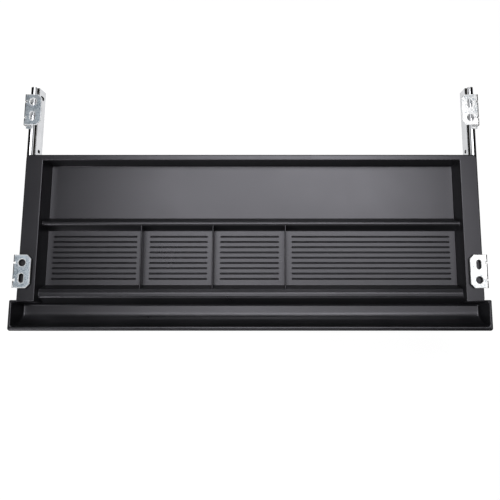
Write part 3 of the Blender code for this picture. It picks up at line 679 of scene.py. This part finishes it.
def groove_cutter(low_x, high_x, y):
    """A long round-ended groove that narrows towards its bottom."""
    mesh = bpy.data.meshes.new("groove")
    work = bmesh.new()
    slope = (GROOVE_WIDTH - GROOVE_BOTTOM) / 2 / GROOVE_DEPTH
    end = GROOVE_WIDTH / 2
    rings = []
    for depth in (-0.6, GROOVE_DEPTH):
        half = GROOVE_WIDTH / 2 - slope * depth
        outline = arc((high_x - end, y), half, -90, 90, 8) + arc((low_x + end, y), half, 90, 270, 8)
        rings.append([work.verts.new((a * MM, b * MM, (FLOOR_Z - depth) * MM)) for a, b in outline])
        work.faces.new(rings[-1])
    upper, lower = rings
    for i in range(len(upper)):
        work.faces.new((upper[i - 1], upper[i], lower[i], lower[i - 1]))
    bmesh.ops.recalc_face_normals(work, faces=work.faces)
    work.to_mesh(mesh)
    work.free()
    return link("groove", mesh)


def cut_grooves(tray):
    for low_x, high_x in bays():
        for y in groove_lines():
            combine(tray, groove_cutter(low_x + GROOVE_MARGIN, high_x - GROOVE_MARGIN, y), "DIFFERENCE")


def tray_blank():
    """Outside of the moulding: rim, pan, trough, lip, cheeks, gussets and skirts."""
    rim = rounded((
        (-RAIL_HALF, TROUGH_BACK - 4, 0), (RAIL_HALF, TROUGH_BACK - 4, 0),
        (RAIL_HALF, TRAY_BACK, CORNER), (-RAIL_HALF, TRAY_BACK, CORNER),
    ))
    tray = prism("tray_moulding", rim, "XY", RIM_Z - RAIL_THICKNESS, RIM_Z)
    roll_edge(tray, False, even_edge)
    pan = prism("pan", pan_outline(), "YZ", 2 - WELL_HALF - WALL, WELL_HALF + WALL - 2)
    lean_ends(pan, SIDE_LEAN)
    combine(tray, pan, "UNION")
    trough = prism("trough", trough_outer_outline(), "YZ", -TROUGH_HALF, TROUGH_HALF)
    plan = rounded((
        (-TROUGH_HALF, TRAY_FRONT, TROUGH_CORNER), (TROUGH_HALF, TRAY_FRONT, TROUGH_CORNER),
        (TROUGH_HALF, TROUGH_BACK_FACE, EAR_CORNER), (-TROUGH_HALF, TROUGH_BACK_FACE, EAR_CORNER),
    ))
    combine(trough, prism("plan", plan, "XY", RIM_Z - 40, RIM_Z + 5), "INTERSECT")
    clean(trough)
    roll_edge(trough, False, trough_edge)
    combine(tray, trough, "UNION")
    lip = brick("lip", (-WELL_HALF, TRAY_BACK - 1.8, RIM_Z - 6), (WELL_HALF, TRAY_BACK - 0.2, RIM_Z - 0.8))
    combine(tray, lip, "UNION")
    for side in SIDES.values():
        add_side(tray, side)
    return tray


def add_side(tray, side):
    """One side's cheek, gussets and skirt."""
    top = RIM_Z - 0.9
    bottom = FLOOR_UNDERSIDE + 0.2
    outer = WELL_HALF + WALL
    lean = SIDE_LEAN * (top - bottom)
    cheek = ((side * outer, top), (side * (outer - lean), bottom),
             (side * (outer - lean - 4.4), bottom), (side * (outer - 4), top))
    combine(tray, prism("cheek", cheek, "XZ", TROUGH_BACK + 0.8, REAR_WALL_FOOT + 1), "UNION")
    skirt_outer = SLIDE_FACE_X - SLIDE_DEPTH - GAP
    skirt_inner = skirt_outer - WALL
    low_x, high_x = sorted((side * (WELL_HALF + 0.6), side * (skirt_inner + 1)))
    for number in range(GUSSET_COUNT):
        y = TROUGH_BACK + GUSSET_FIRST + number * GUSSET_PITCH
        gusset = brick("gusset", (low_x, y, RIM_Z - GUSSET_DEPTH), (high_x, y + GUSSET_SHEET, RIM_Z - 1.1))
        combine(tray, gusset, "UNION")
    outline = rounded((
        (TROUGH_BACK + 0.9, RIM_Z - 1.2, 0), (TROUGH_BACK + 0.9, RIM_Z - 14, 0),
        (TROUGH_BACK + 16, SKIRT_BOTTOM, 6), (TRAY_BACK - 3, SKIRT_BOTTOM, 6),
        (TRAY_BACK - 3, RIM_Z - 1.2, 0),
    ))
    low_x, high_x = sorted((side * skirt_inner, side * skirt_outer))
    skirt = prism("skirt", outline, "YZ", low_x, high_x)
    for y in SCREW_Y:
        hole = prism("hole", circle(y, SLIDE_Z, SCREW_RADIUS + GAP, 24), "YZ", low_x - 2, high_x + 2)
        combine(skirt, hole, "DIFFERENCE")
    combine(tray, skirt, "UNION")


def make_tray():
    tray = tray_blank()
    well = prism("well", well_outline(), "YZ", -WELL_HALF, WELL_HALF)
    lean_ends(well, SIDE_LEAN)
    round_edges(well, 1.5, 5, 50)
    roll_edge(well, True, even_edge)
    combine(tray, well, "DIFFERENCE")
    hollow = prism("hollow", trough_inner_outline(), "YZ", -TROUGH_END, TROUGH_END)
    lean_ends(hollow, END_LEAN)
    round_edges(hollow, 2.0, 5, 50)
    roll_edge(hollow, True, even_edge)
    combine(tray, hollow, "DIFFERENCE")
    for x in DIVIDER_X:
        outline = (
            (MID_RIDGE_FRONT + 2, FLOOR_Z - 1), (FRONT_RIDGE_BACK - 2, FLOOR_Z - 1),
            (FRONT_RIDGE_BACK - 4.5, FRONT_RIDGE_Z - DIVIDER_DROP),
            (CREST_FRONT + 1, MID_RIDGE_Z - DIVIDER_DROP),
        )
        divider = prism("divider", outline, "YZ", x - DIVIDER / 2, x + DIVIDER / 2)
        round_edges(divider, 0.6, 3)
        combine(tray, divider, "UNION")
    cut_grooves(tray)
    clean(tray)
    shade(tray)
    finish_piece(tray, (PLASTIC,), "drawer", "tray_plastic", "drawer_tray")


# ---------------------------------------------------------------- slides

def on_side(side, points):
    """Turn (u, w) points of a slide section into (x, z) points."""
    return [(side_x(side, u), SLIDE_Z + w) for u, w in points]


def outer_section():
    """Desk member: a flat web whose edges curl over the two rows of balls."""
    upper = (arc((BALL_U, BALL_W), BALL_U, 180, -15, 24)
             + arc((BALL_U, BALL_W), BALL_U - SHEET, -15, 180, 20))
    return upper + [(u, -w) for u, w in reversed(upper)]


def inner_section():
    """Drawer member: a web on the drawer's side with a race folded back above and below."""
    face = SLIDE_DEPTH
    race_edge = 2.7
    return rounded((
        (race_edge, INNER_HALF, 0.3), (BALL_RACE_END, INNER_HALF, 0), (face, INNER_HALF, 1.6),
        (face, -INNER_HALF, 1.6), (BALL_RACE_END, -INNER_HALF, 0), (race_edge, -INNER_HALF, 0.3),
        (race_edge, SHEET - INNER_HALF, 0.3), (face - SHEET, SHEET - INNER_HALF, 0.6),
        (face - SHEET, INNER_HALF - SHEET, 0.6), (race_edge, INNER_HALF - SHEET, 0.3),
    ), steps=6)


def web_hole(target, outline, side, u):
    """Cut an outline through a slide's web, which lies u inboard."""
    low, high = sorted((side_x(side, u - 2), side_x(side, u + 2)))
    combine(target, prism("hole", outline, "YZ", low, high), "DIFFERENCE")


def grease_and_shade(member, side, darkened):
    """Mark the faces that the test picks, from the (u, w) of their middles, as the second material: dark
    grease with painted shade.
    """
    for face in member.data.polygons:
        u = SLIDE_FACE_X - side * face.center.x / MM
        w = abs(face.center.z / MM - SLIDE_Z)
        if darkened(u, w) and abs(face.normal.y) < 0.5:
            face.material_index = 1


def inside_outer(u, w):
    """Inner face of the desk member's web and the inside of its curled edges, darkened as grease with painted
    shade.
    """
    if w < BALL_W:
        return u > SHEET / 2
    return math.hypot(u - BALL_U, w - BALL_W) < BALL_U - SHEET / 2


def inside_inner(u, w):
    """Outboard side of the drawer member and the races that its balls run on, darkened as grease with painted
    shade.
    """
    race = w > INNER_HALF - 0.1 and u < BALL_RACE_END
    return race or (u < SLIDE_DEPTH - SHEET / 2 and w < INNER_HALF - SHEET / 2)


def make_slides(label, side):
    outer = prism(f"desk_member_{label}", on_side(side, outer_section()), "XZ", -SLIDE_HALF, SLIDE_HALF)
    for end in ENDS.values():
        for level in (1, -1):
            rivet_hole = circle(end * BRACKET_Y, SLIDE_Z + RIVET_W * level, RIVET_RADIUS + 0.2, 24)
            web_hole(outer, rivet_hole, side, SHEET / 2)
    round_edges(outer, 0.25, 2, 50)
    # darken the web's inside and the curls: grease with painted shade
    grease_and_shade(outer, side, inside_outer)
    shade(outer)
    finish_piece(outer, (SLIDE_ZINC, GREASE_AND_SHADE_ZINC), "desk_side", "slide_zinc", f"slide_outer_{label}")

    inner = prism(f"drawer_member_{label}", on_side(side, inner_section()), "XZ", -SLIDE_HALF, SLIDE_HALF)
    lug_low, lug_high = sorted((side_x(side, 3.2), side_x(side, SLIDE_DEPTH - 0.4)))
    lug = brick("lug", (lug_low, BUMPER_LOW.y - GAP - SHEET, SLIDE_Z - LUG_HALF),
                (lug_high, BUMPER_LOW.y - GAP, SLIDE_Z + LUG_HALF))
    combine(inner, lug, "UNION")
    web = SLIDE_DEPTH - SHEET / 2
    for y in SCREW_Y:
        web_hole(inner, circle(y, SLIDE_Z, SCREW_RADIUS + 0.4, 24), side, web)
    for slot in WEB_SLOTS:
        web_hole(inner, slot_outline(*slot), side, web)
    round_edges(inner, 0.25, 2, 50)
    # darken the races and the outboard side: grease with painted shade
    grease_and_shade(inner, side, inside_inner)
    shade(inner)
    finish_piece(inner, (SLIDE_ZINC, GREASE_AND_SHADE_ZINC), "drawer", "slide_zinc", f"slide_inner_{label}")


# ---------------------------------------------------------------- brackets and fasteners

def chamfer_painted_highlights(bracket):
    """Chamfer the flange's upper edges and holes, and mark the chamfers as the second material, a near-white
    painted highlight.
    """
    work = bmesh.new()
    work.from_mesh(bracket.data)
    edges = [edge for edge in work.edges
             if all(v.co.z > -0.01 * MM for v in edge.verts) and edge.calc_face_angle(0) > math.radians(60)]
    bmesh.ops.bevel(work, geom=edges, offset=HIGHLIGHT_CHAMFER * MM, segments=3, profile=0.5, affect="EDGES",
                    material=1, clamp_overlap=False)
    work.to_mesh(bracket.data)
    work.free()


def bracket_mesh(tab_reach):
    """One bent and pierced bracket as a left one lies, its round hole to the rear.

    tab_reach says how far the tab on the slide reaches past the flange, by end: -1 and 1.
    """
    half = BRACKET_LENGTH / 2
    outside = -BRACKET_FACE_X
    inboard = outside + BRACKET_WIDTH
    sheet = BRACKET_SHEET
    leg_bottom = BRACKET_LOW.z
    tab_bottom = OUTER_HIGH.z + GAP
    section = rounded((
        (inboard, 0, 0), (outside, 0, 1.6), (outside, leg_bottom, 0),
        (outside + sheet, leg_bottom, 0), (outside + sheet, -sheet, 0.3), (inboard, -sheet, 0),
    ), steps=8)
    bracket = prism("bracket", section, "XZ", -half, half)
    for sign in ENDS.values():
        edge = half - TONGUE
        low, high = sorted((sign * edge, sign * (edge - NOTCH_WIDTH)))
        combine(bracket, brick("notch", (outside - 1, low, leg_bottom - 5), (outside + NOTCH_DEPTH, high, 1)),
                "DIFFERENCE")
        low, high = sorted((sign * (edge - 0.5), sign * (half + 1)))
        combine(bracket, brick("trim", (outside - 1, low, leg_bottom - 5), (inboard, high, tab_bottom + 0.1)),
                "DIFFERENCE")
        low, high = sorted((sign * (edge + 0.3), sign * (half + tab_reach[sign])))
        combine(bracket, brick("tab", (outside + 0.2, low, tab_bottom),
                               (outside + sheet + 4.6, high, tab_bottom + sheet)), "UNION")
        corner = (
            (inboard - BRACKET_CHAMFER, sign * (half + 1)), (inboard + 2, sign * (half + 1)),
            (inboard + 2, sign * (half - BRACKET_CHAMFER - 1)),
            (inboard, sign * (half - BRACKET_CHAMFER)), (inboard - BRACKET_CHAMFER, sign * half),
        )
        combine(bracket, prism("corner", corner, "XY", -sheet - 1, 1), "DIFFERENCE")
    mid_x = outside + BRACKET_WIDTH / 2
    round_hole = circle(mid_x, half - HOLE_FROM_END, HOLE_RADIUS)
    long_hole = slot_outline(mid_x, SLOT_FROM_END - half, SLOT_WIDTH, SLOT_LENGTH)
    for outline in (round_hole, long_hole):
        combine(bracket, prism("hole", outline, "XY", -sheet - 1, 1), "DIFFERENCE")
    for level in (1, -1):
        rivet_hole = circle(0, SLIDE_Z + RIVET_W * level, RIVET_RADIUS + 0.2, 24)
        combine(bracket, prism("hole", rivet_hole, "YZ", outside - 2, outside + 3), "DIFFERENCE")
    clean(bracket)
    # painted highlight: near-white chamfers round the flange and its holes
    chamfer_painted_highlights(bracket)
    mesh = bracket.data
    bpy.data.objects.remove(bracket, do_unlink=True)
    return mesh


def make_brackets():
    """Only the rear brackets' tabs reach forward past the flange; a right bracket is turned half round."""
    for side_label, side in SIDES.items():
        for end_label, end in ENDS.items():
            reach = {-1: 0, 1: 0}
            if end > 0:
                reach[side] = TAB_REACH
            bracket = link(f"angle_bracket_{end_label}_{side_label}", bracket_mesh(reach))
            turn = Matrix.Rotation(math.pi if side > 0 else 0, 4, "Z")
            bracket.data.transform(Matrix.Translation((0, end * BRACKET_Y * MM, 0)) @ turn)
            shade(bracket)
            # the second material is the painted highlight on the chamfers
            finish_piece(bracket, (BRACKET_ZINC, PAINTED_HIGHLIGHT_ZINC), "desk_side", "bracket_zinc",
                         f"bracket_{end_label}_{side_label}")


def lay_fastener(piece, side, x, y, z):
    """Turn a fastener's +Z outboard and put its origin at a point."""
    turn = Matrix.Rotation(math.pi / 2 * side, 4, "Y")
    piece.data.transform(Matrix.Translation((x * MM, y * MM, z * MM)) @ turn)


def make_rivets(label, side):
    """Low domed heads with their shanks, two a bracket."""
    face = BRACKET_SHEET + 2 * GAP
    head = [(0, face + RIVET_HEAD_HEIGHT)]
    for angle in range(12, 85, 9):
        rise = RIVET_HEAD_HEIGHT * math.cos(math.radians(angle)) ** 0.8
        head.append((RIVET_HEAD * math.sin(math.radians(angle)), face + rise))
    head.append((RIVET_HEAD, face))
    profile = head + [(RIVET_RADIUS, face), (RIVET_RADIUS, 0.1 - SHEET), (0, 0.1 - SHEET)]
    for end_label, end in ENDS.items():
        for number, level in ((1, 1), (2, -1)):
            rivet = turned(f"rivet_head_{end_label}_{label}_{number}", profile, 32)
            lay_fastener(rivet, side, side_x(side, 0), end * BRACKET_Y, SLIDE_Z + RIVET_W * level)
            shade(rivet)
            finish_piece(rivet, (FASTENER_ZINC,), "desk_side", "fastener_zinc",
                         f"rivet_{end_label}_{label}_{number}")


def make_screws(label, side):
    """Pan-head screws with a cross recess and a turned thread."""
    head = [(0, SCREW_HEAD_HEIGHT), (1.2, 1.88), (2.2, 1.72), (2.9, 1.4), (3.35, 0.9), (3.55, 0.4),
            (SCREW_HEAD, 0)]
    thread = [(SCREW_RADIUS, -0.2)]
    for turn in range(THREAD_TURNS):
        z = -THREAD_FIRST - turn * THREAD_PITCH
        thread += [(THREAD_ROOT, z), (SCREW_RADIUS, z - THREAD_RISE)]
    profile = head + thread + [(0.6, 0.6 - SCREW_LENGTH), (0, -SCREW_LENGTH)]
    for number, y in enumerate(SCREW_Y, start=1):
        screw = turned(f"pan_screw_{label}_{number}", profile, 32)
        for long_side, short_side in ((1.9, 0.45), (0.45, 1.9)):
            recess = brick("recess", (-long_side, -short_side, 0.8), (long_side, short_side, 3))
            combine(screw, recess, "DIFFERENCE")
        lay_fastener(screw, side, side_x(side, SLIDE_DEPTH - SHEET - GAP), y, SLIDE_Z)
        shade(screw)
        finish_piece(screw, (FASTENER_ZINC,), "drawer", "fastener_zinc", f"tray_screw_{label}_{number}")


def dress_cad_nodes():
    """The balls, cages and bumpers keep their CAD shape and get a finish."""
    for name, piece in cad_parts.items():
        if name.startswith("ball_cage"):
            material, slot = SLIDE_ZINC, "cage_zinc"
        elif name.startswith("ball_"):
            material, slot = BALL_STEEL, "ball_steel"
        elif name.startswith("closing_bumper"):
            material, slot = RUBBER, "bumper_rubber"
        else:
            continue
        piece.data.materials.clear()
        piece.data.materials.append(material)
        if material == BALL_STEEL:
            piece.data.shade_smooth()
            smooth = piece.modifiers.new("smooth", "SUBSURF")
            smooth.levels = 1
            smooth.render_levels = 1


# ---------------------------------------------------------------- studio

def make_camera():
    """Nearly overhead, a little in front of the drawer's middle, with the frame shifted down."""
    data = bpy.data.cameras.new("camera")
    data.lens = LENS
    data.sensor_width = SENSOR
    data.shift_x, data.shift_y = LENS_SHIFT
    data.clip_start = 0.01
    data.clip_end = 20
    camera = bpy.data.objects.new("camera", data)
    bpy.context.scene.collection.objects.link(camera)
    camera.location = CAMERA_PLACE
    camera.location.z += RIM_Z * MM
    camera.rotation_euler = (math.radians(90 - LOOK_DOWN), 0, 0)
    bpy.context.scene.camera = camera


def make_soft_light(name, zenith, azimuth, size, power):
    """A round diffuser that faces the drawer from an angle off the vertical, azimuth from +X to +Y."""
    data = bpy.data.lights.new(name, "AREA")
    data.shape = "ELLIPSE"
    data.size, data.size_y = size
    data.energy = power
    light = bpy.data.objects.new(name, data)
    bpy.context.scene.collection.objects.link(light)
    reach = LIGHT_DISTANCE * math.sin(math.radians(zenith))
    target = Vector(LIGHT_TARGET)
    light.location = target + Vector((reach * math.cos(math.radians(azimuth)),
                                      reach * math.sin(math.radians(azimuth)),
                                      LIGHT_DISTANCE * math.cos(math.radians(zenith))))
    light.rotation_euler = (target - light.location).to_track_quat("-Z", "Y").to_euler()


def make_floor():
    """A pale board well below the drawer.

    The camera sees it evenly white. Reflections see it bright below the drawer's middle and dim outside.
    """
    half = BOARD_HALF
    mesh = bpy.data.meshes.new("studio_floor")
    z = CAD_LOW.z - BOARD_DROP
    corners = [(-half, -half, z), (half, -half, z), (half, half, z), (-half, half, z)]
    mesh.from_pydata(corners, [], [(0, 1, 2, 3)])
    floor = link("studio_floor", mesh)
    material, tree, shader = new_material("pale_board")
    place = coordinates(tree)
    cloud = noise(tree, place, 3.0, 3.0)
    paint = ramp(tree, cloud, [(0.3, (0.93, 0.93, 0.93)), (0.7, (0.98, 0.98, 0.98))])
    tree.links.new(paint, shader.inputs["Emission Color"])
    shader.inputs["Base Color"].default_value = (0.1, 0.1, 0.1, 1)
    shader.inputs["Roughness"].default_value = 0.9
    split = node(tree, "ShaderNodeSeparateXYZ")
    tree.links.new(place, split.inputs["Vector"])
    distance = node(tree, "ShaderNodeMath", operation="ABSOLUTE")
    tree.links.new(split.outputs["X"], distance.inputs[0])
    card = node(tree, "ShaderNodeMapRange")
    for name, value in (("From Min", CARD_HALF), ("From Max", CARD_FADE),
                        ("To Min", CARD_GLOW), ("To Max", SURROUND_GLOW)):
        card.inputs[name].default_value = value
    tree.links.new(distance.outputs[0], card.inputs["Value"])
    path = node(tree, "ShaderNodeLightPath")
    glow = node(tree, "ShaderNodeMath", operation="MAXIMUM")
    tree.links.new(path.outputs["Is Camera Ray"], glow.inputs[0])
    tree.links.new(card.outputs["Result"], glow.inputs[1])
    tree.links.new(glow.outputs[0], shader.inputs["Emission Strength"])
    floor.data.materials.append(material)


def aim_lights(name, state, pieces, lights):
    """Make the lights skip the pieces (EXCLUDE) or reach nothing else (INCLUDE)."""
    group = bpy.data.collections.new(name)
    for piece in pieces:
        group.objects.link(piece)
    for entry in group.collection_objects:
        entry.light_linking.link_state = state
    for light in lights:
        bpy.data.objects[light].light_linking.receiver_collection = group


def make_lights():
    """Soft lights above and low around the drawer.

    The lights of one side leave out its own slide, and each side has a light that reaches only the far slide,
    so that a slide's curled edges are bright towards the middle and dark outside. The left brackets mirror a
    cool light instead of the left ones.
    """
    for light in SOFT_LIGHTS:
        make_soft_light(*light)
    bpy.data.lights["cool_left"].color = COOL_LIGHT
    slides = {label: [bpy.data.objects[f"{kind}_{label}"] for kind in ("desk_member", "drawer_member")]
              for label in SIDES}
    left_brackets = [bpy.data.objects[f"angle_bracket_{end}_left"] for end in ENDS]
    aim_lights("lit_without_left", "EXCLUDE", slides["left"] + left_brackets, ("rear_left", "left"))
    aim_lights("lit_without_right", "EXCLUDE", slides["right"], ("rear_right", "right"))
    aim_lights("lit_coolly", "INCLUDE", left_brackets, ("cool_left",))
    aim_lights("lit_from_right", "INCLUDE", slides["left"], ("side_right",))
    aim_lights("lit_from_left", "INCLUDE", slides["right"], ("side_left",))
    world = bpy.data.worlds.new("studio")
    world.use_nodes = True
    background = world.node_tree.nodes["Background"]
    background.inputs["Color"].default_value = (1, 1, 1, 1)
    background.inputs["Strength"].default_value = WORLD_GLOW
    bpy.context.scene.world = world
    bpy.context.scene.view_settings.view_transform = "Standard"


make_tray()
for side_name, side_sign in SIDES.items():
    make_slides(side_name, side_sign)
    make_rivets(side_name, side_sign)
    make_screws(side_name, side_sign)
make_brackets()
dress_cad_nodes()
make_camera()
make_floor()
make_lights()
